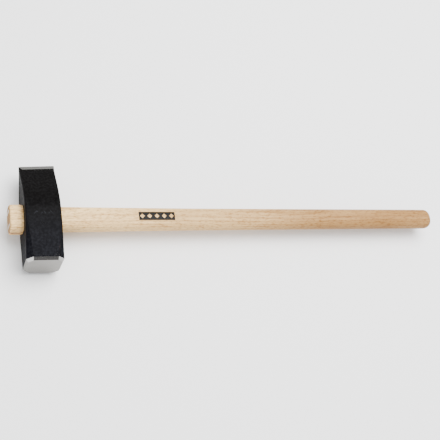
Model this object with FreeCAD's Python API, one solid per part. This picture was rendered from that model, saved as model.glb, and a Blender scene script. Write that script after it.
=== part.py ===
"""Splitting maul: a forged wedge-and-poll head on a straight ash handle.

The maul lies on one cheek.  +X runs along the handle from the stub to the grip
end, +Y points to the cutting edge, +Z is up, and the origin is the centre of the
bounding box at its lowest level.  Everything is drawn round the centre of the eye
first, and moved to that origin when it is written out.  Millimetres.
"""
import FreeCAD, Part
import math
import os

from FreeCAD import Placement, Rotation, Vector

# ---- Driving dimensions -------------------------------------------------------

# Whole tool
OVERALL_LENGTH = 800.0       # end of the stub to the end of the grip

# Head, measured from the axis of the handle
EDGE_REACH = 98.0            # to the middle of the cutting edge
POLL_REACH = 82.1            # to the striking face
EDGE_WIDTH = 58.6            # along X, at the cutting edge
EDGE_RAKE = 3.1              # how much further the edge reaches out on the grip side
EYE_WIDTH = 57.6             # along X, level with the handle
POLL_WIDTH = 60.2            # along X, at the striking face
CREST_THICKNESS = 75.0       # greatest distance between the cheeks
CREST_OFFSET = 4.2           # crest line of the cheeks, towards the edge
POLL_THICKNESS = 62.0        # between the cheeks at the striking face
WEDGE_HALF_ANGLE = 25.4      # degrees, cheek against the mid-plane at the bevel
BEVEL_HEIGHT = 9.4           # ground strip along the cutting edge
BEVEL_BASE_THICKNESS = 10.6  # between the cheeks where the grinding starts
EDGE_LAND = 1.2              # blunt land left on the cutting edge
FORGED_RADIUS = 2.6          # rounding of the long forged edges
FACET_LENGTH = 67.0          # corner facets, from the striking face to where they run out
FACET_LEG = 10.3             # leg of the corner facets at the striking face
CHAMFER_DEPTH = 4.8          # ground chamfer round the striking face, along Y
CHAMFER_WIDTH = 3.2          # the same chamfer, across Y

# Eye: an oval hole that opens towards the stub, so that the wedges lock the head
EYE_TOP_HEIGHT = 44.8        # along Y, on the stub side
EYE_BOTTOM_HEIGHT = 40.1     # along Y, on the grip side
EYE_SLENDERNESS = 0.78       # depth along Z over height along Y
EYE_FIT_GAP = 0.02           # press fit all round between wood and steel

# Handle
STUB_LENGTH = 22.0           # proud of the head
STUB_SPREAD = 1.2            # how far the wedges spread the stub past the eye, all round
STUB_END_RADIUS = 3.5
COLLAR_LENGTH = 4.5          # chamfer between the stub and the eye
FACE_GAP = 0.4               # neck left straight past each side face of the head
BAND_LENGTH = 2.6            # shaved band between the head and the shoulder
SHOULDER_LENGTH = 0.8
SHOULDER_STEP = 0.35         # how far the shaft stands past the eye, above and below
FLARE_HEIGHT = 1.1           # extra height where the shaft meets the head
FLARE_LENGTH = 110.0
GRIP_HEIGHT = 36.6           # along Y, at the grip end
GRIP_SLENDERNESS = 0.85
GRIP_END_RADIUS = 12.5
SQUARENESS_AT_HEAD = 3.0     # superellipse power: 2 is an ellipse
SQUARENESS_AT_GRIP = 2.2
SQUARENESS_FADE = 260.0      # length over which the section turns oval

# Wedges in the stub
WOOD_WEDGE_LENGTH = 50.0
WOOD_WEDGE_THICKNESS = 4.6
WOOD_WEDGE_TIP = 0.8
KERF_RELIEF = 8.0            # saw kerf left empty past the tip of the wooden wedge
STEEL_WEDGE_LENGTH = 28.0
STEEL_WEDGE_WIDTH = 22.0
STEEL_WEDGE_THICKNESS = 3.4
STEEL_WEDGE_TIP = 0.5
STEEL_WEDGE_PITCH = 24.0     # between the two steel wedges, along Y

# ---- Places that follow from them ---------------------------------------------

STUB_END = -(EYE_WIDTH / 2 + STUB_LENGTH)
GRIP_END = STUB_END + OVERALL_LENGTH
BEVEL_BASE = EDGE_REACH - BEVEL_HEIGHT
FACET_START = FACET_LENGTH - POLL_REACH
WIDEST = max(EDGE_WIDTH, EYE_WIDTH, POLL_WIDTH)
THICKEST = max(CREST_THICKNESS, POLL_THICKNESS)
STUB_HEIGHT = EYE_TOP_HEIGHT + 2 * STUB_SPREAD
STUB_DEPTH = STUB_HEIGHT * EYE_SLENDERNESS
SHAFT_HEIGHT = EYE_BOTTOM_HEIGHT + 2 * SHOULDER_STEP
GRIP_DEPTH = GRIP_HEIGHT * GRIP_SLENDERNESS
NECK_TOP = -(EYE_WIDTH / 2 + FACE_GAP)
NECK_BOTTOM = EYE_WIDTH / 2 + BAND_LENGTH
SHAFT_START = NECK_BOTTOM + SHOULDER_LENGTH
SHAFT_END = GRIP_END - GRIP_END_RADIUS
CLEAR_OF_HEAD = 200.0        # size of cutting blocks, well outside the head
ALONG_EDGE = Vector(EDGE_WIDTH, EDGE_RAKE, 0)

ORIGIN = Vector(
    (STUB_END + GRIP_END) / 2,
    (EDGE_REACH + EDGE_RAKE / 2 - POLL_REACH) / 2,
    -THICKEST / 2,
)


# ---- Helpers --------------------------------------------------------------------

def oval_wire(x, height, depth, power):
    """Closed superellipse of the given height (Y) and depth (Z) in the plane at x."""
    steps = 32
    points = []
    for step in range(steps):
        angle = 2 * math.pi * step / steps
        across = abs(math.cos(angle) / (height / 2)) ** power
        upward = abs(math.sin(angle) / (depth / 2)) ** power
        radius = (across + upward) ** (-1 / power)
        points.append(Vector(x, radius * math.cos(angle), radius * math.sin(angle)))
    curve = Part.BSplineCurve()
    curve.interpolate(Points=points, PeriodicFlag=True)
    return Part.Wire(curve.toShape())


def bezier(*poles):
    """Edge along the Bezier curve with these poles."""
    curve = Part.BezierCurve()
    curve.setPoles(list(poles))
    return curve.toShape()


def block_beyond(point, normal):
    """Large block on the outer side of the plane through point."""
    size = CLEAR_OF_HEAD
    block = Part.makeBox(size, size, size, Vector(-size / 2, -size / 2, 0))
    block.Placement = Placement(point, Rotation(Vector(0, 0, 1), normal))
    return block


def between(start, end, share):
    """Value a share of the way from start to end."""
    return start + (end - start) * share


def smooth_share(share):
    """Share from 0 to 1 eased at both ends."""
    share = min(max(share, 0.0), 1.0)
    return share * share * (3 - 2 * share)


# ---- Head -----------------------------------------------------------------------

def cheek_height(y):
    """Height of the cheek over the mid-plane at y, on the poll side of the crest."""
    share = (CREST_OFFSET - y) / (CREST_OFFSET + POLL_REACH)
    return between(CREST_THICKNESS, POLL_THICKNESS, share ** 2) / 2


def cheek_edges(side, back_end):
    """Cheek from back_end over the crest to the bevel; side is +1 above, -1 below."""
    crest = CREST_THICKNESS / 2
    base = BEVEL_BASE_THICKNESS / 2
    slope = math.radians(WEDGE_HALF_ANGLE)
    handle = (BEVEL_BASE - CREST_OFFSET) / 3

    def at(y, z):
        return Vector(-WIDEST, y, side * z)

    back = bezier(
        at(back_end, cheek_height(back_end)),
        at((back_end + CREST_OFFSET) / 2, crest),
        at(CREST_OFFSET, crest),
    )
    front = bezier(
        at(CREST_OFFSET, crest),
        at(CREST_OFFSET + handle, crest),
        at(BEVEL_BASE - handle * math.cos(slope), base + handle * math.sin(slope)),
        at(BEVEL_BASE, base),
    )
    return [back, front]


def cheek_body():
    """The side outline of the head up to the bevel, run along the cutting edge."""
    back_end = -POLL_REACH - EDGE_RAKE
    upper = cheek_edges(1, back_end)
    lower = cheek_edges(-1, back_end)
    tip = Part.makeLine(upper[1].Vertexes[1].Point, lower[1].Vertexes[1].Point)
    back = Part.makeLine(upper[0].Vertexes[0].Point, lower[0].Vertexes[0].Point)
    outline = Part.Wire(Part.__sortEdges__(upper + [tip] + lower + [back]))
    run = ALONG_EDGE * (2 * WIDEST / EDGE_WIDTH)
    body = Part.Face(outline).extrude(run)
    body.translate(Vector(0, -run.y / 2, 0))
    return body


def plan_body():
    """The outline of the head seen along Z, with slightly hollow side faces."""
    z = -THICKEST
    corners = {}
    sides = []
    for side in (-1, 1):
        edge_corner = Vector(side * EDGE_WIDTH / 2, EDGE_REACH, z)
        eye_point = Vector(side * EYE_WIDTH / 2, 0, z)
        poll_corner = Vector(side * POLL_WIDTH / 2, -POLL_REACH, z)
        curve = Part.BSplineCurve()
        curve.interpolate([edge_corner, eye_point, poll_corner])
        sides.append(curve.toShape())
        corners[side] = (edge_corner, poll_corner)
    ends = [Part.makeLine(corners[-1][end], corners[1][end]) for end in (0, 1)]
    outline = Part.Wire(Part.__sortEdges__(sides + ends))
    return Part.Face(outline).extrude(Vector(0, 0, 2 * THICKEST))


def forged_blank():
    """Head as it leaves the dies: rounded long edges, not ground yet."""
    body = cheek_body().common(plan_body())
    long_edges = [
        edge for edge in body.Edges
        if edge.BoundBox.YLength > FORGED_RADIUS and edge.BoundBox.XLength < EYE_WIDTH / 2
    ]
    body = body.makeFillet(FORGED_RADIUS, long_edges)
    tip = max(body.Faces, key=lambda face: face.CenterOfMass.y)
    return body.fuse(tip.extrude(Vector(0, BEVEL_HEIGHT, 0)))


def bevel_cuts():
    """Blocks that grind the two bevels down to the land of the cutting edge."""
    rise = (BEVEL_BASE_THICKNESS - EDGE_LAND) / 2
    for side in (-1, 1):
        start = Vector(0, BEVEL_BASE, side * BEVEL_BASE_THICKNESS / 2)
        down_bevel = Vector(0, BEVEL_HEIGHT, -side * rise)
        yield block_beyond(start, ALONG_EDGE.cross(down_bevel) * side)


def facet_cuts():
    """Blocks that cut the four corner facets, which widen towards the poll."""
    start_leg = FORGED_RADIUS * (2 - math.sqrt(2))
    start_height = cheek_height(FACET_START)
    for x_side in (-1, 1):
        for z_side in (-1, 1):
            along = Vector(x_side, 0, -z_side)
            start = Vector(
                x_side * (EYE_WIDTH / 2 - start_leg), FACET_START, z_side * start_height
            )
            end = Vector(
                x_side * (POLL_WIDTH / 2 - FACET_LEG), -POLL_REACH, z_side * POLL_THICKNESS / 2
            )
            normal = along.cross(end - start)
            if normal.x * x_side < 0:
                normal = -normal
            yield block_beyond(start, normal)


def chamfer_cuts():
    """Blocks that grind the chamfer round the eight-sided striking face."""
    half_width = POLL_WIDTH / 2
    half_thickness = POLL_THICKNESS / 2
    corner_reach = (half_width + half_thickness - FACET_LEG) / math.sqrt(2)
    diagonal = math.sqrt(0.5)
    walls = []
    for side in (-1, 1):
        walls.append((Vector(side, 0, 0), half_width))
        walls.append((Vector(0, 0, side), half_thickness))
        for other in (-1, 1):
            walls.append((Vector(side * diagonal, 0, other * diagonal), corner_reach))
    for outward, reach in walls:
        start = outward * reach + Vector(0, CHAMFER_DEPTH - POLL_REACH, 0)
        yield block_beyond(start, outward * CHAMFER_DEPTH - Vector(0, CHAMFER_WIDTH, 0))


def eye_size(x, gap=0.0):
    """Height and depth of the eye at x, with a gap added all round."""
    share = (x + EYE_WIDTH / 2) / EYE_WIDTH
    height = between(EYE_TOP_HEIGHT, EYE_BOTTOM_HEIGHT, share)
    return height + 2 * gap, height * EYE_SLENDERNESS + 2 * gap


def eye_hole():
    """Tapered oval hole right through the head."""
    wires = [
        oval_wire(x, *eye_size(x, EYE_FIT_GAP), SQUARENESS_AT_HEAD)
        for x in (-WIDEST, WIDEST)
    ]
    return Part.makeLoft(wires, True, True)


def make_head():
    """Forged and ground steel head with its eye."""
    head = forged_blank()
    for cuts in (bevel_cuts(), facet_cuts(), chamfer_cuts()):
        head = head.cut(list(cuts))
    return head.cut(eye_hole()).removeSplitter()


# ---- Handle ---------------------------------------------------------------------

def shaft_section(x):
    """Oval of the shaft at x: squarer at the head, rounder and thinner at the grip."""
    share = (x - SHAFT_START) / (SHAFT_END - SHAFT_START)
    flare = FLARE_HEIGHT * (1 - min((x - SHAFT_START) / FLARE_LENGTH, 1.0)) ** 2
    height = between(SHAFT_HEIGHT - FLARE_HEIGHT, GRIP_HEIGHT, share) + flare
    slenderness = between(EYE_SLENDERNESS, GRIP_SLENDERNESS, share)
    fade = smooth_share((x - SHAFT_START) / SQUARENESS_FADE)
    power = between(SQUARENESS_AT_HEAD, SQUARENESS_AT_GRIP, fade)
    return oval_wire(x, height, height * slenderness, power)


def neck_section(x):
    """Oval of the neck where it fills the eye."""
    return oval_wire(x, *eye_size(x), SQUARENESS_AT_HEAD)


def rounded_end(end, radius, height, depth, power):
    """Sections that round an end off, from full size out to the end face."""
    outward = math.copysign(radius, end)
    steps = 8
    sections = []
    for step in range(steps + 1):
        angle = math.pi / 2 * step / steps
        inset = 2 * radius * (1 - math.cos(angle))
        x = end - outward * (1 - math.sin(angle))
        sections.append(oval_wire(x, height - inset, depth - inset, power))
    return sections


def handle_envelope():
    """Handle before it is sawn: stub, collar, neck, shoulder, shaft and grip end."""
    collar = NECK_TOP - COLLAR_LENGTH
    stub = rounded_end(STUB_END, STUB_END_RADIUS, STUB_HEIGHT, STUB_DEPTH, SQUARENESS_AT_HEAD)
    stub.reverse()
    stub.append(oval_wire(collar, STUB_HEIGHT, STUB_DEPTH, SQUARENESS_AT_HEAD))
    neck = [neck_section(NECK_TOP), neck_section(NECK_BOTTOM)]
    spans = 20
    shaft = [shaft_section(between(SHAFT_START, SHAFT_END, step / spans)) for step in range(spans)]
    grip = rounded_end(GRIP_END, GRIP_END_RADIUS, GRIP_HEIGHT, GRIP_DEPTH, SQUARENESS_AT_GRIP)
    return Part.makeLoft(stub + neck + shaft + grip, True, True)


# ---- Wedges ---------------------------------------------------------------------

def tapered_prism(length, thickness, tip, width, across):
    """Wedge driven in from the stub's end; across is the axis of its width."""
    corners = [
        (STUB_END, thickness / 2),
        (STUB_END + length, tip / 2),
        (STUB_END + length, -tip / 2),
        (STUB_END, -thickness / 2),
    ]
    points = [Vector(x, 0, z) for x, z in corners]
    face = Part.Face(Part.makePolygon(points + points[:1]))
    prism = face.extrude(Vector(0, width, 0))
    prism.translate(Vector(0, -width / 2, 0))
    if across == "z":
        prism.rotate(Vector(0, 0, 0), Vector(1, 0, 0), 90)
    return prism


def steel_wedge_at(y):
    """Small steel wedge set across the wooden one."""
    prism = tapered_prism(
        STEEL_WEDGE_LENGTH, STEEL_WEDGE_THICKNESS, STEEL_WEDGE_TIP, STEEL_WEDGE_WIDTH, "z"
    )
    prism.translate(Vector(0, y, 0))
    return prism


def wood_wedge_prism():
    """Wooden wedge before it is trimmed flush with the stub."""
    return tapered_prism(
        WOOD_WEDGE_LENGTH, WOOD_WEDGE_THICKNESS, WOOD_WEDGE_TIP, 2 * STUB_HEIGHT, "y"
    )


def empty_kerf():
    """Saw kerf past the tip of the wooden wedge."""
    start = STUB_END + WOOD_WEDGE_LENGTH
    corner = Vector(start, -STUB_HEIGHT, -WOOD_WEDGE_TIP / 2)
    return Part.makeBox(KERF_RELIEF, 2 * STUB_HEIGHT, WOOD_WEDGE_TIP, corner)


# ---- Assembly -------------------------------------------------------------------

def make_parts():
    """Every piece of the maul, by node name, round the centre of the eye."""
    envelope = handle_envelope()
    steel_wedges = {
        "steel_wedge_edge_side": steel_wedge_at(STEEL_WEDGE_PITCH / 2),
        "steel_wedge_poll_side": steel_wedge_at(-STEEL_WEDGE_PITCH / 2),
    }
    steel = list(steel_wedges.values())
    kerf_filling = wood_wedge_prism()
    return {
        "head": make_head(),
        "handle": envelope.cut([kerf_filling, empty_kerf()] + steel),
        "wood_wedge": envelope.common(kerf_filling).cut(steel),
        **steel_wedges,
    }


os.makedirs("parts", exist_ok=True)
for node, shape in make_parts().items():
    shape.translate(-ORIGIN)
    solid = shape.Solids[0]
    if len(shape.Solids) != 1 or not solid.isValid():
        raise ValueError(node + " is not one valid solid")
    solid.exportStep("parts/" + node + ".step")
    box = solid.optimalBoundingBox()
    print(node, round(solid.Volume / 1000, 1), "cm3", box)
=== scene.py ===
"""Looks of the splitting maul: black lacquered forged head, ash handle, wedges, and a plain studio."""

import math

import bpy
from mathutils import Matrix, Vector


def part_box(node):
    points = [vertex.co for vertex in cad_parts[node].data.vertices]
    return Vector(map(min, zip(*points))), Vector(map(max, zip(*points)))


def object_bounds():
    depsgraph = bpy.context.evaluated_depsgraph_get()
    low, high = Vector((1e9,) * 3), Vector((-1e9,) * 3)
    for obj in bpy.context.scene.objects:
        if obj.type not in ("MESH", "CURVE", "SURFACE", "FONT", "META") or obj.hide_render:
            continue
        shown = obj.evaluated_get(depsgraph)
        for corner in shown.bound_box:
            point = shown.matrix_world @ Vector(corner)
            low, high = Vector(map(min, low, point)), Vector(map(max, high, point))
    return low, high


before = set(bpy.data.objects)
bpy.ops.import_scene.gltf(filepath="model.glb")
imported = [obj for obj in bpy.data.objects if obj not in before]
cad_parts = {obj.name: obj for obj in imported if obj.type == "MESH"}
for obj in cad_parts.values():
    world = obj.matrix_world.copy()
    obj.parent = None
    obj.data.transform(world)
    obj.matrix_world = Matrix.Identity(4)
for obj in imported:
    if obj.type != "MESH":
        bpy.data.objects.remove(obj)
cad_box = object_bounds()

# ---- Places, all from the frame, in metres -------------------------------------------------

MM = 0.001
HEAD_LOW, HEAD_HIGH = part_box("head")
HANDLE_LOW, HANDLE_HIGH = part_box("handle")
HEAD_CENTRE = (HEAD_LOW + HEAD_HIGH) / 2
HANDLE_CENTRE = (HANDLE_LOW + HANDLE_HIGH) / 2
EYE = Vector((HEAD_CENTRE.x, HANDLE_CENTRE.y, HANDLE_CENTRE.z))

# Places on the head are from its centre, and places on the wood are from the eye.
SIDE_X = (HEAD_HIGH.x - HEAD_LOW.x) / 2       # flat sides of the head
EDGE_Y = (HEAD_HIGH.y - HEAD_LOW.y) / 2       # cutting edge
POLL_Y = -EDGE_Y                              # striking face

# ---- Sizes of the finishes on the head -----------------------------------------------------

EDGE_RAKE = 3.1 / 58.6         # slope of the cutting edge across the head
BEVEL_STRIP = 8.6 * MM         # bright steel along the cutting edge
BEVEL_WOBBLE = 2.0 * MM        # how far the end of the lacquer wanders there
BEVEL_RAGGED = 0.5 * MM        # and how rough its line is
SPILL = 5 * MM                 # the lacquer runs this much further at the stub-side corner
SPILL_FULL = 1 * MM            # in full this near the side
SPILL_FADE = 6 * MM            # and fading out over this much of the edge
POLL_STRIP = 4.8 * MM          # bright steel round the striking face
POLL_RAGGED = 0.3 * MM
POLL_GROUND = 6 * MM           # grinding marks run across the head this far from that face
POLL_GROUND_FADE = 2 * MM
FACET_INSET = 10.0 * MM        # the lacquer stays on the chamfer between the facets
FACET_FADE = 0.6 * MM
CHIPS_BY_BEVEL = 9 * MM        # chips in the lacquer thicken this near the bare bevel
CHIPS_BY_POLL = 16 * MM        # and this near the striking face
CHIPS_BY_POLL_FULL = 4 * MM
LACQUER_LIP = 0.12 * MM        # step where the lacquer ends
SHEEN_START = 20 * MM         # painted sheen: the lacquer is lighter and bluish from here, from the head's centre
SHEEN_FULL = -75 * MM         # to here

STAMP_COUNT = 3                # chevrons stamped in the cheek
STAMP_PITCH = 11 * MM
STAMP_PLACE = -10 * MM         # from the middle of the head, towards the poll
STAMP_REACH = 4.2 * MM         # half width of a chevron
STAMP_STROKE = 1.0 * MM        # half width of its line
STAMP_SLOPE = 1.2
STAMP_FADE = 0.3 * MM

# ---- Sizes of the wood's figure ------------------------------------------------------------

ASH_RINGS = 3.4 * MM           # growth rings
BEECH_RINGS = 1.6 * MM
RING_SWAY = 9 * MM             # how far the rings wander along the grain
ASH_HEART = (-0.045, -0.11)    # Y and Z of the centre of the rings
BEECH_HEART = (0.03, -0.06)
DARKEN_START = -0.06              # the ash darkens from here along the handle, from the eye
DARKEN_FULL = 0.70                # to here
BAND_REACH = 3.2 * MM          # paler wood each way from the face of the head
BAND_FADE = 1.0 * MM

MARK_FROM_EYE = 0.1945         # centre of the printed mark along the handle
MARK_LENGTH = 64 * MM
MARK_HEIGHT = 15.5 * MM
MARK_FADE = 0.2 * MM
DIAMOND_COUNT = 5              # pale diamonds left in the mark
DIAMOND_REACH = 4.0 * MM       # half diagonal of a diamond

# ---- Colours and gloss ---------------------------------------------------------------------

LACQUER_DARK = (0.0034, 0.0031, 0.0031, 1)
LACQUER_LIGHT = (0.0062, 0.0059, 0.0060, 1)
SHEEN_DARK = (0.0036, 0.0037, 0.0052, 1)     # painted sheen on the lacquer towards the poll
SHEEN_LIGHT = (0.0105, 0.0108, 0.0136, 1)
STAMP_GREY = (0.055, 0.060, 0.070, 1)

STEEL_DARK = (0.160, 0.155, 0.144, 1)
STEEL_LIGHT = (0.240, 0.232, 0.217, 1)
STEEL_SMUDGE = (0.17, 0.163, 0.15, 1)
STEEL_GLINT = (0.34, 0.335, 0.325, 1)         # painted glint on the corner chamfers of the poll
MILD_DARK = (0.36, 0.355, 0.345, 1)
MILD_LIGHT = (0.54, 0.53, 0.51, 1)
RUST = (0.16, 0.075, 0.035, 1)

# Light and dark of each wood's figure.
ASH_PALE = ((0.95, 0.660, 0.315, 1), (0.45, 0.240, 0.074, 1))
ASH_GRIP_END = ((0.29, 0.148, 0.046, 1), (0.155, 0.064, 0.015, 1))
BEECH = ((0.36, 0.150, 0.062, 1), (0.20, 0.075, 0.030, 1))
PORE_BROWN = (0.26, 0.15, 0.075, 1)
# End grain: darker from oil, and partly painted shade on the end faces.
END_BROWN_AND_SHADE = (0.085, 0.048, 0.025, 1)
PALE_BAND_COLOUR = (0.90, 0.70, 0.44, 1)
INK = (0.003, 0.003, 0.003, 1)

FLOOR_DARK = (0.93, 0.93, 0.93, 1)
FLOOR_LIGHT = (0.95, 0.95, 0.95, 1)
ROOM_COLOUR = (0.98, 0.99, 1.0, 1)

# Specular levels: the lacquer hardly mirrors the studio, and oiled wood only a little.
LACQUER_SPECULAR = 0.011
WOOD_SPECULAR = 0.12
FLOOR_SPECULAR = 0.1

# ---- Studio --------------------------------------------------------------------------------

FLOOR_REACH = 6.0
FLOOR_GAP = 0.2 * MM           # under the lowest point of the maul
ROOM_STRENGTH = 1.1

OVERHEAD_SIZE = (2.0, 2.0)
OVERHEAD_POWER = 168
OVERHEAD_PLACE = Vector((0.50, 0.40, 2.3))
OVERHEAD_TARGET = Vector((0.30, 0.20, 0.0))
STRIP_SIZE = (1.1, 0.5)
STRIP_POWER = 9
STRIP_PLACE = Vector((-1.45, -1.05, 0.42))

CAMERA_AZIMUTH = math.radians(-43.01)
CAMERA_ELEVATION = math.radians(58.14)
CAMERA_ROLL = math.radians(38.28)
CAMERA_DISTANCE = 1.4988
CAMERA_TARGET = EYE + Vector((0.3144, -0.0010, 0.0))
SENSOR_WIDTH = 36.0            # in millimetres, as is the lens
LENS = 69.5


# ---- A small helper for node materials -----------------------------------------------------

class Nodes:
    """Node tree of one material, with places from an origin and short names for the nodes."""

    def __init__(self, name, origin=(0.0, 0.0, 0.0)):
        self.material = bpy.data.materials.new(name)
        self.material.use_nodes = True
        self.tree = self.material.node_tree
        self.shader = self.tree.nodes["Principled BSDF"]
        self.place = self.add("ShaderNodeTexCoord").outputs["Object"]
        self.local = self.vector("SUBTRACT", self.place, origin)
        self.x, self.y, self.z = self.axes(self.local)
        self.facing = self.axes(self.add("ShaderNodeNewGeometry").outputs["Normal"])

    def add(self, kind, **settings):
        node = self.tree.nodes.new(kind)
        for key, value in settings.items():
            setattr(node, key, value)
        return node

    def feed(self, socket, value):
        """Link an output, or set a plain value."""
        if isinstance(value, bpy.types.NodeSocket):
            self.tree.links.new(value, socket)
        else:
            socket.default_value = value

    def math(self, operation, first, second=0.0, clamp=False):
        node = self.add("ShaderNodeMath", operation=operation, use_clamp=clamp)
        self.feed(node.inputs[0], first)
        self.feed(node.inputs[1], second)
        return node.outputs[0]

    def plus(self, first, second, share, clamp=False):
        """First plus a share of second."""
        return self.math("ADD", first, self.math("MULTIPLY", second, share), clamp)

    def away(self, value, middle=0.0):
        """Distance of value from middle."""
        return self.math("ABSOLUTE", self.math("SUBTRACT", value, middle))

    def vector(self, operation, first, second):
        node = self.add("ShaderNodeVectorMath", operation=operation)
        self.feed(node.inputs[0], first)
        self.feed(node.inputs[1], second)
        return node.outputs[0]

    def axes(self, vector):
        node = self.add("ShaderNodeSeparateXYZ")
        self.feed(node.inputs[0], vector)
        return node.outputs

    def squeeze(self, x=1.0, y=1.0, z=1.0):
        """Local place scaled along each axis: below 1, a texture there is drawn out that way."""
        return self.vector("MULTIPLY", self.local, (x, y, z))

    def noise(self, vector, scale, detail=3.0, roughness=0.5):
        node = self.add("ShaderNodeTexNoise")
        self.feed(node.inputs["Vector"], vector)
        self.feed(node.inputs["Scale"], scale)
        self.feed(node.inputs["Detail"], detail)
        self.feed(node.inputs["Roughness"], roughness)
        return node.outputs["Fac"]

    def smooth(self, value, low, high, start=0.0, end=1.0):
        """Value eased from start to end as it goes from low to high."""
        node = self.add("ShaderNodeMapRange", interpolation_type="SMOOTHSTEP")
        self.feed(node.inputs["Value"], value)
        self.feed(node.inputs["From Min"], low)
        self.feed(node.inputs["From Max"], high)
        self.feed(node.inputs["To Min"], start)
        self.feed(node.inputs["To Max"], end)
        return node.outputs[0]

    def mix(self, share, first, second, kind="Color"):
        """Color, Float or Vector a share of the way from first to second."""
        node = self.add("ShaderNodeMix", data_type="RGBA" if kind == "Color" else kind.upper())
        sockets = {socket.identifier: socket for socket in [*node.inputs, *node.outputs]}
        self.feed(sockets["Factor_Float"], share)
        self.feed(sockets["A_" + kind], first)
        self.feed(sockets["B_" + kind], second)
        return sockets["Result_" + kind]

    def bump(self, height, distance, strength, below=None):
        node = self.add("ShaderNodeBump")
        self.feed(node.inputs["Height"], height)
        self.feed(node.inputs["Distance"], distance)
        self.feed(node.inputs["Strength"], strength)
        if below is not None:
            self.feed(node.inputs["Normal"], below)
        return node.outputs[0]

    def finish(self, **values):
        """Connect the shader's sockets, given by name with underscores for spaces."""
        for name, value in values.items():
            self.feed(self.shader.inputs[name.replace("_", " ")], value)
        return self.material


def from_cell_middle(n, along, pitch, count):
    """Distance from the middle of a cell, in a row of cells centred on zero."""
    start = n.math("ADD", along, count * pitch / 2)
    cell = n.math("FRACT", n.math("DIVIDE", start, pitch))
    return n.math("MULTIPLY", n.away(cell, 0.5), pitch)


# ---- Head ----------------------------------------------------------------------------------

def past_bevel_line(n, ragged):
    """Distance past the wandering line where the lacquer ends, towards the cutting edge."""
    wander = n.noise(n.squeeze(y=0.0, z=0.0), scale=55.0, detail=2.0)
    line = n.plus(EDGE_Y - BEVEL_STRIP - BEVEL_WOBBLE / 2, wander, BEVEL_WOBBLE)
    line = n.plus(line, ragged, BEVEL_RAGGED)
    full = SPILL_FULL - SIDE_X
    spill = n.smooth(n.x, full + SPILL_FADE, full, 0.0, SPILL)
    raked = n.plus(n.y, n.x, -EDGE_RAKE)
    return n.math("SUBTRACT", raked, n.math("ADD", line, spill))


def bare_poll(n, ragged):
    """Share of bare steel round the striking face, with worn lacquer between the facets."""
    line = n.plus(POLL_Y + POLL_STRIP, ragged, POLL_RAGGED)
    bare = n.smooth(n.math("SUBTRACT", line, n.y), -0.1 * MM, 0.1 * MM)
    facet = SIDE_X - FACET_INSET
    between_facets = n.smooth(n.away(n.x), facet, facet - FACET_FADE)
    on_chamfer = n.smooth(n.away(n.facing[2]), 0.45, 0.6)
    kept_paint = n.math("MULTIPLY", n.math("MULTIPLY", between_facets, on_chamfer), 0.82)
    return n.math("MULTIPLY", bare, n.math("SUBTRACT", 1.0, kept_paint))


def bare_steel(n):
    """Share of bare steel: the bevels, the striking face, and chips that thicken near them."""
    ragged = n.noise(n.local, scale=900.0, detail=2.0)
    past_line = past_bevel_line(n, ragged)
    bevel = n.smooth(past_line, -0.15 * MM, 0.25 * MM)
    near_bevel = n.smooth(past_line, -CHIPS_BY_BEVEL, 0.0)
    near_poll = n.smooth(n.y, POLL_Y + CHIPS_BY_POLL, POLL_Y + CHIPS_BY_POLL_FULL)
    chips = n.noise(n.local, scale=620.0, detail=4.0, roughness=0.65)
    chips = n.plus(chips, n.math("MAXIMUM", near_bevel, near_poll), 0.10)
    chips = n.smooth(chips, 0.735, 0.765)
    bare = n.math("MAXIMUM", bevel, bare_poll(n, ragged))
    return n.math("MAXIMUM", bare, chips, clamp=True)


def stamped_mark(n):
    """Faint generic stamp on the upper cheek: a row of three chevrons."""
    row_end = STAMP_COUNT * STAMP_PITCH / 2
    offset = from_cell_middle(n, n.x, STAMP_PITCH, STAMP_COUNT)
    level = n.math("SUBTRACT", n.y, STAMP_PLACE)
    ridge = n.away(n.plus(level, offset, STAMP_SLOPE))
    stroke = n.smooth(ridge, STAMP_STROKE, STAMP_STROKE / 2)
    inside = n.smooth(offset, STAMP_REACH, STAMP_REACH - STAMP_FADE)
    in_row = n.smooth(n.away(n.x), row_end, row_end - 0.1 * MM)
    above = n.smooth(n.z, 0.0, 1 * MM)
    worn = n.smooth(n.noise(n.place, scale=330.0, roughness=0.6), 0.42, 0.58)
    mark = n.math("MULTIPLY", n.math("MULTIPLY", stroke, inside), n.math("MULTIPLY", in_row, above))
    return n.math("MULTIPLY", mark, worn)


def lacquer(n):
    """Colour, roughness and normal of the lacquer, with the forging scale showing through and a
    painted sheen towards the poll.
    """
    dents = n.noise(n.local, scale=46.0)
    scale_marks = n.noise(n.local, scale=260.0, detail=5.0, roughness=0.62)
    fine = n.noise(n.local, scale=1500.0, roughness=0.6)
    cloud = n.smooth(scale_marks, 0.38, 0.68)
    stamp = stamped_mark(n)

    # Painted sheen: lighter, bluish lacquer towards the poll stands in for the light the curved cheek
    # catches there.
    sheen_share = n.smooth(n.y, SHEEN_START, SHEEN_FULL)
    sheen_colour = n.mix(cloud, SHEEN_DARK, SHEEN_LIGHT)
    colour = n.mix(cloud, LACQUER_DARK, LACQUER_LIGHT)
    colour = n.mix(n.math("MULTIPLY", sheen_share, 0.85), colour, sheen_colour)
    colour = n.mix(n.math("MULTIPLY", stamp, 0.30), colour, STAMP_GREY)

    # The flat sides are duller than the cheeks.
    on_side = n.smooth(n.away(n.facing[0]), 0.75, 0.95, 0.0, 0.16)
    rough = n.plus(n.mix(cloud, 0.20, 0.33, "Float"), fine, 0.06)
    rough = n.math("ADD", rough, on_side)

    relief = n.math("MULTIPLY", dents, 0.55)
    relief = n.plus(relief, scale_marks, 0.16)
    relief = n.plus(relief, fine, 0.02)
    relief = n.plus(relief, stamp, -0.22)
    return colour, rough, n.bump(relief, 0.9 * MM, 0.55)


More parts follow.
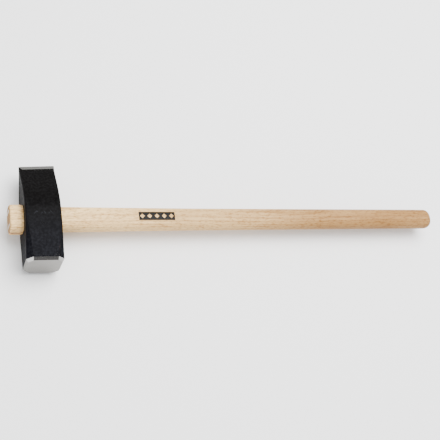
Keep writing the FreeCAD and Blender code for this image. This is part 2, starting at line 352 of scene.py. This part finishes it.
def ground_steel(n):
    """Colour, roughness and normal of the ground steel, with fine parallel grinding marks and a
    painted glint on the poll's corner chamfers.
    """
    along_edge = n.noise(n.squeeze(y=0.04), scale=2600.0, roughness=0.6)
    on_face = n.noise(n.squeeze(x=0.05), scale=2300.0, roughness=0.6)
    reach = POLL_Y + POLL_GROUND
    near_poll = n.smooth(n.y, reach + POLL_GROUND_FADE, reach)
    grind = n.mix(near_poll, along_edge, on_face, "Float")
    bright = n.smooth(grind, 0.3, 0.7)
    smudge = n.smooth(n.noise(n.local, scale=90.0, roughness=0.55), 0.5, 0.75)
    # Painted glint: the poll's corner chamfers, found by their facing, get brighter steel.
    corner = n.away(n.math("MULTIPLY", n.facing[0], n.facing[2]))
    corner_glint = n.math("MULTIPLY", n.smooth(corner, 0.10, 0.25), near_poll)

    colour = n.mix(bright, STEEL_DARK, STEEL_LIGHT)
    colour = n.mix(n.math("MULTIPLY", smudge, 0.35), colour, STEEL_SMUDGE)
    colour = n.mix(corner_glint, colour, STEEL_GLINT)
    return colour, n.mix(bright, 0.30, 0.46, "Float"), n.bump(grind, 0.03 * MM, 0.5)


def head_material():
    """Black lacquer over forged steel, ground bright on the bevels and the striking face."""
    n = Nodes("black_lacquer_and_ground_steel", HEAD_CENTRE)
    steel = bare_steel(n)
    lacquer_colour, lacquer_rough, forged = lacquer(n)
    metal_colour, metal_rough, ground = ground_steel(n)
    surface = n.mix(steel, forged, ground, "Vector")
    lip = n.math("SUBTRACT", 1.0, steel)
    return n.finish(
        Base_Color=n.mix(steel, lacquer_colour, metal_colour),
        Metallic=steel,
        Roughness=n.mix(steel, lacquer_rough, metal_rough, "Float"),
        Specular_IOR_Level=LACQUER_SPECULAR,
        Normal=n.bump(lip, LACQUER_LIP, 0.6, below=surface),
    )


# ---- Wood ----------------------------------------------------------------------------------

def printed_mark(n):
    """Generic black mark on the handle: a plain bar with a row of pale diamonds left in it."""
    along = n.math("SUBTRACT", n.x, MARK_FROM_EYE)
    height = n.away(n.y)
    long_way = n.smooth(n.away(along), MARK_LENGTH / 2, MARK_LENGTH / 2 - MARK_FADE)
    short_way = n.smooth(height, MARK_HEIGHT / 2, MARK_HEIGHT / 2 - MARK_FADE)
    offset = from_cell_middle(n, along, MARK_LENGTH / DIAMOND_COUNT, DIAMOND_COUNT)
    around = n.smooth(n.math("ADD", offset, height), DIAMOND_REACH, DIAMOND_REACH + MARK_FADE)
    above = n.smooth(n.z, 0.0, 1 * MM)
    worn = n.smooth(n.noise(n.place, scale=900.0), 0.25, 0.45, 0.95, 1.0)
    bar = n.math("MULTIPLY", long_way, short_way)
    ink = n.math("MULTIPLY", n.math("MULTIPLY", bar, around), above)
    return n.math("MULTIPLY", ink, worn)


def growth_rings(n, heart, spacing):
    """Share of porous early wood, in rings round a heart outside the stick."""
    drift = n.noise(n.squeeze(x=0.22), scale=16.0, detail=2.0)
    sway = n.math("MULTIPLY", n.math("SUBTRACT", drift, 0.5), RING_SWAY)
    side = n.math("SUBTRACT", n.y, heart[0])
    depth = n.math("SUBTRACT", n.z, heart[1])
    squares = n.math("ADD", n.math("POWER", side, 2.0), n.math("POWER", depth, 2.0))
    radius = n.math("ADD", n.math("SQRT", squares), sway)
    ring = n.math("FRACT", n.math("DIVIDE", radius, spacing))
    return n.math("MULTIPLY", n.smooth(ring, 0.0, 0.10), n.smooth(ring, 0.46, 0.18))


def side_grain(n, porous, fibre, streak, pale, grip_tone):
    """Colour along the grain, pale near the head and darker towards the grip."""
    flecks = n.noise(n.squeeze(x=0.32), scale=430.0, roughness=0.65)
    shade = n.math("MULTIPLY", porous, 0.30)
    shade = n.plus(shade, n.smooth(streak, 0.38, 0.72), 0.32)
    shade = n.plus(shade, n.smooth(fibre, 0.35, 0.70), 0.20)
    shade = n.plus(shade, n.smooth(flecks, 0.47, 0.66), 0.55, clamp=True)

    broad = n.noise(n.squeeze(x=0.30), scale=22.0, detail=2.0)
    patchy = n.math("MULTIPLY", n.math("SUBTRACT", broad, 0.5), 0.5)
    toward_grip = n.smooth(n.x, DARKEN_START, DARKEN_FULL)
    toward_grip = n.math("ADD", toward_grip, patchy, clamp=True)
    grip_share = n.math("MULTIPLY", toward_grip, 0.96)
    return n.mix(grip_share, n.mix(shade, *pale), n.mix(shade, *grip_tone))


def mark_handle(n, colour):
    """Print the mark on the wood and make a band by the head paler."""
    colour = n.mix(printed_mark(n), colour, INK)
    band = n.smooth(n.away(n.x, SIDE_X), BAND_REACH, BAND_REACH - BAND_FADE)
    return n.mix(n.math("MULTIPLY", band, 0.3), colour, PALE_BAND_COLOUR)


def wood_material(name, pale, grip_tone, heart, spacing, marked=False):
    """Ring-porous wood with its grain along X."""
    n = Nodes(name, EYE)
    porous = growth_rings(n, heart, spacing)
    fibre = n.noise(n.squeeze(x=0.018), scale=1500.0, detail=4.0, roughness=0.6)
    streak = n.noise(n.squeeze(x=0.030), scale=330.0, roughness=0.55)
    pores = n.smooth(n.noise(n.squeeze(x=0.07), scale=2900.0, detail=2.0), 0.60, 0.70)
    pores = n.math("MULTIPLY", pores, n.plus(0.25, porous, 0.75))

    colour = side_grain(n, porous, fibre, streak, pale, grip_tone)
    colour = n.mix(n.math("MULTIPLY", pores, 0.50), colour, PORE_BROWN)

    # End grain drinks more oil, so it is darker and duller; its dark colour is also partly painted
    # shade for the end faces, which face away from the light.
    end_grain = n.smooth(n.away(n.facing[0]), 0.55, 0.92)
    end_oil_and_shade = n.mix(n.plus(0.62, porous, 0.35), pale[1], END_BROWN_AND_SHADE)
    colour = n.mix(n.math("MULTIPLY", end_grain, 0.8), colour, end_oil_and_shade)
    if marked:
        colour = mark_handle(n, colour)

    relief = n.math("MULTIPLY", fibre, 0.35)
    relief = n.plus(relief, streak, 0.45)
    relief = n.plus(relief, pores, -0.9)
    relief = n.plus(relief, porous, -0.25)
    return n.finish(
        Base_Color=colour,
        Roughness=n.mix(end_grain, n.plus(0.46, fibre, 0.16), 0.85, "Float"),
        Specular_IOR_Level=WOOD_SPECULAR,
        Normal=n.bump(relief, 0.16 * MM, 0.55),
    )


# ---- Steel wedges and floor ----------------------------------------------------------------

def steel_wedge_material():
    """Bright mild steel with a little rust in patches."""
    n = Nodes("mild_steel_wedge")
    brushed = n.noise(n.squeeze(y=0.1), scale=2400.0)
    rusty = n.noise(n.place, scale=260.0, detail=4.0, roughness=0.6)
    rusty = n.smooth(rusty, 0.55, 0.68)
    metal = n.mix(n.smooth(brushed, 0.3, 0.7), MILD_DARK, MILD_LIGHT)
    return n.finish(
        Base_Color=n.mix(rusty, metal, RUST),
        Metallic=n.plus(1.0, rusty, -0.8),
        Roughness=n.mix(rusty, 0.36, 0.78, "Float"),
        Normal=n.bump(brushed, 0.03 * MM, 0.5),
    )


def floor_material():
    """Plain pale seamless floor."""
    n = Nodes("pale_floor")
    tone = n.noise(n.place, scale=3.0, detail=2.0)
    return n.finish(
        Base_Color=n.mix(tone, FLOOR_DARK, FLOOR_LIGHT),
        Roughness=0.8,
        Specular_IOR_Level=FLOOR_SPECULAR,
    )


def dress(node, material):
    """Give a CAD node its material."""
    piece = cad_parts[node]
    piece.data.materials.clear()
    piece.data.materials.append(material)


# ---- Studio --------------------------------------------------------------------------------

def add_object(name, data):
    thing = bpy.data.objects.new(name, data)
    bpy.context.scene.collection.objects.link(thing)
    return thing


def aim(thing, place, target, roll=0.0):
    """Put a camera or light at place, looking at target."""
    direction = (target - place).to_track_quat("-Z", "Y")
    turned = direction.to_matrix().to_4x4() @ Matrix.Rotation(roll, 4, "Z")
    thing.matrix_world = Matrix.Translation(place) @ turned


def make_floor():
    mesh = bpy.data.meshes.new("floor")
    signs = ((-1, -1), (1, -1), (1, 1), (-1, 1))
    corners = [(FLOOR_REACH * right, FLOOR_REACH * back, 0) for right, back in signs]
    mesh.from_pydata(corners, [], [(0, 1, 2, 3)])
    mesh.materials.append(floor_material())
    floor = add_object("floor", mesh)
    floor.location.z = cad_box[0][2] - FLOOR_GAP


def area_light(name, size, power, place, target):
    light = bpy.data.lights.new(name, "AREA")
    light.shape = "RECTANGLE"
    light.size, light.size_y = size
    light.energy = power
    aim(add_object(name, light), place, target)


def make_lights():
    """A wide soft box overhead, a strip for the striking face, and a pale room."""
    area_light("overhead", OVERHEAD_SIZE, OVERHEAD_POWER, OVERHEAD_PLACE, OVERHEAD_TARGET)
    area_light("strip", STRIP_SIZE, STRIP_POWER, STRIP_PLACE, HEAD_CENTRE)
    world = bpy.data.worlds.new("studio")
    world.use_nodes = True
    background = world.node_tree.nodes["Background"]
    background.inputs["Color"].default_value = ROOM_COLOUR
    background.inputs["Strength"].default_value = ROOM_STRENGTH
    bpy.context.scene.world = world


def make_camera():
    """Camera above the head, on the poll and stub side, rolled so that the handle lies level."""
    level = math.cos(CAMERA_ELEVATION)
    back = Vector((
        math.sin(CAMERA_AZIMUTH) * level,
        -math.cos(CAMERA_AZIMUTH) * level,
        math.sin(CAMERA_ELEVATION),
    ))
    data = bpy.data.cameras.new("camera")
    data.sensor_width = SENSOR_WIDTH
    data.lens = LENS
    camera = add_object("camera", data)
    aim(camera, CAMERA_TARGET + back * CAMERA_DISTANCE, CAMERA_TARGET, CAMERA_ROLL)
    bpy.context.scene.camera = camera


# ---- Make it -------------------------------------------------------------------------------

dress("head", head_material())
dress("handle", wood_material("oiled_ash", ASH_PALE, ASH_GRIP_END, ASH_HEART, ASH_RINGS, marked=True))
dress("wood_wedge", wood_material("hardwood_wedge", BEECH, BEECH, BEECH_HEART, BEECH_RINGS))
wedge_steel = steel_wedge_material()
dress("steel_wedge_edge_side", wedge_steel)
dress("steel_wedge_poll_side", wedge_steel)
make_floor()
make_lights()
make_camera()
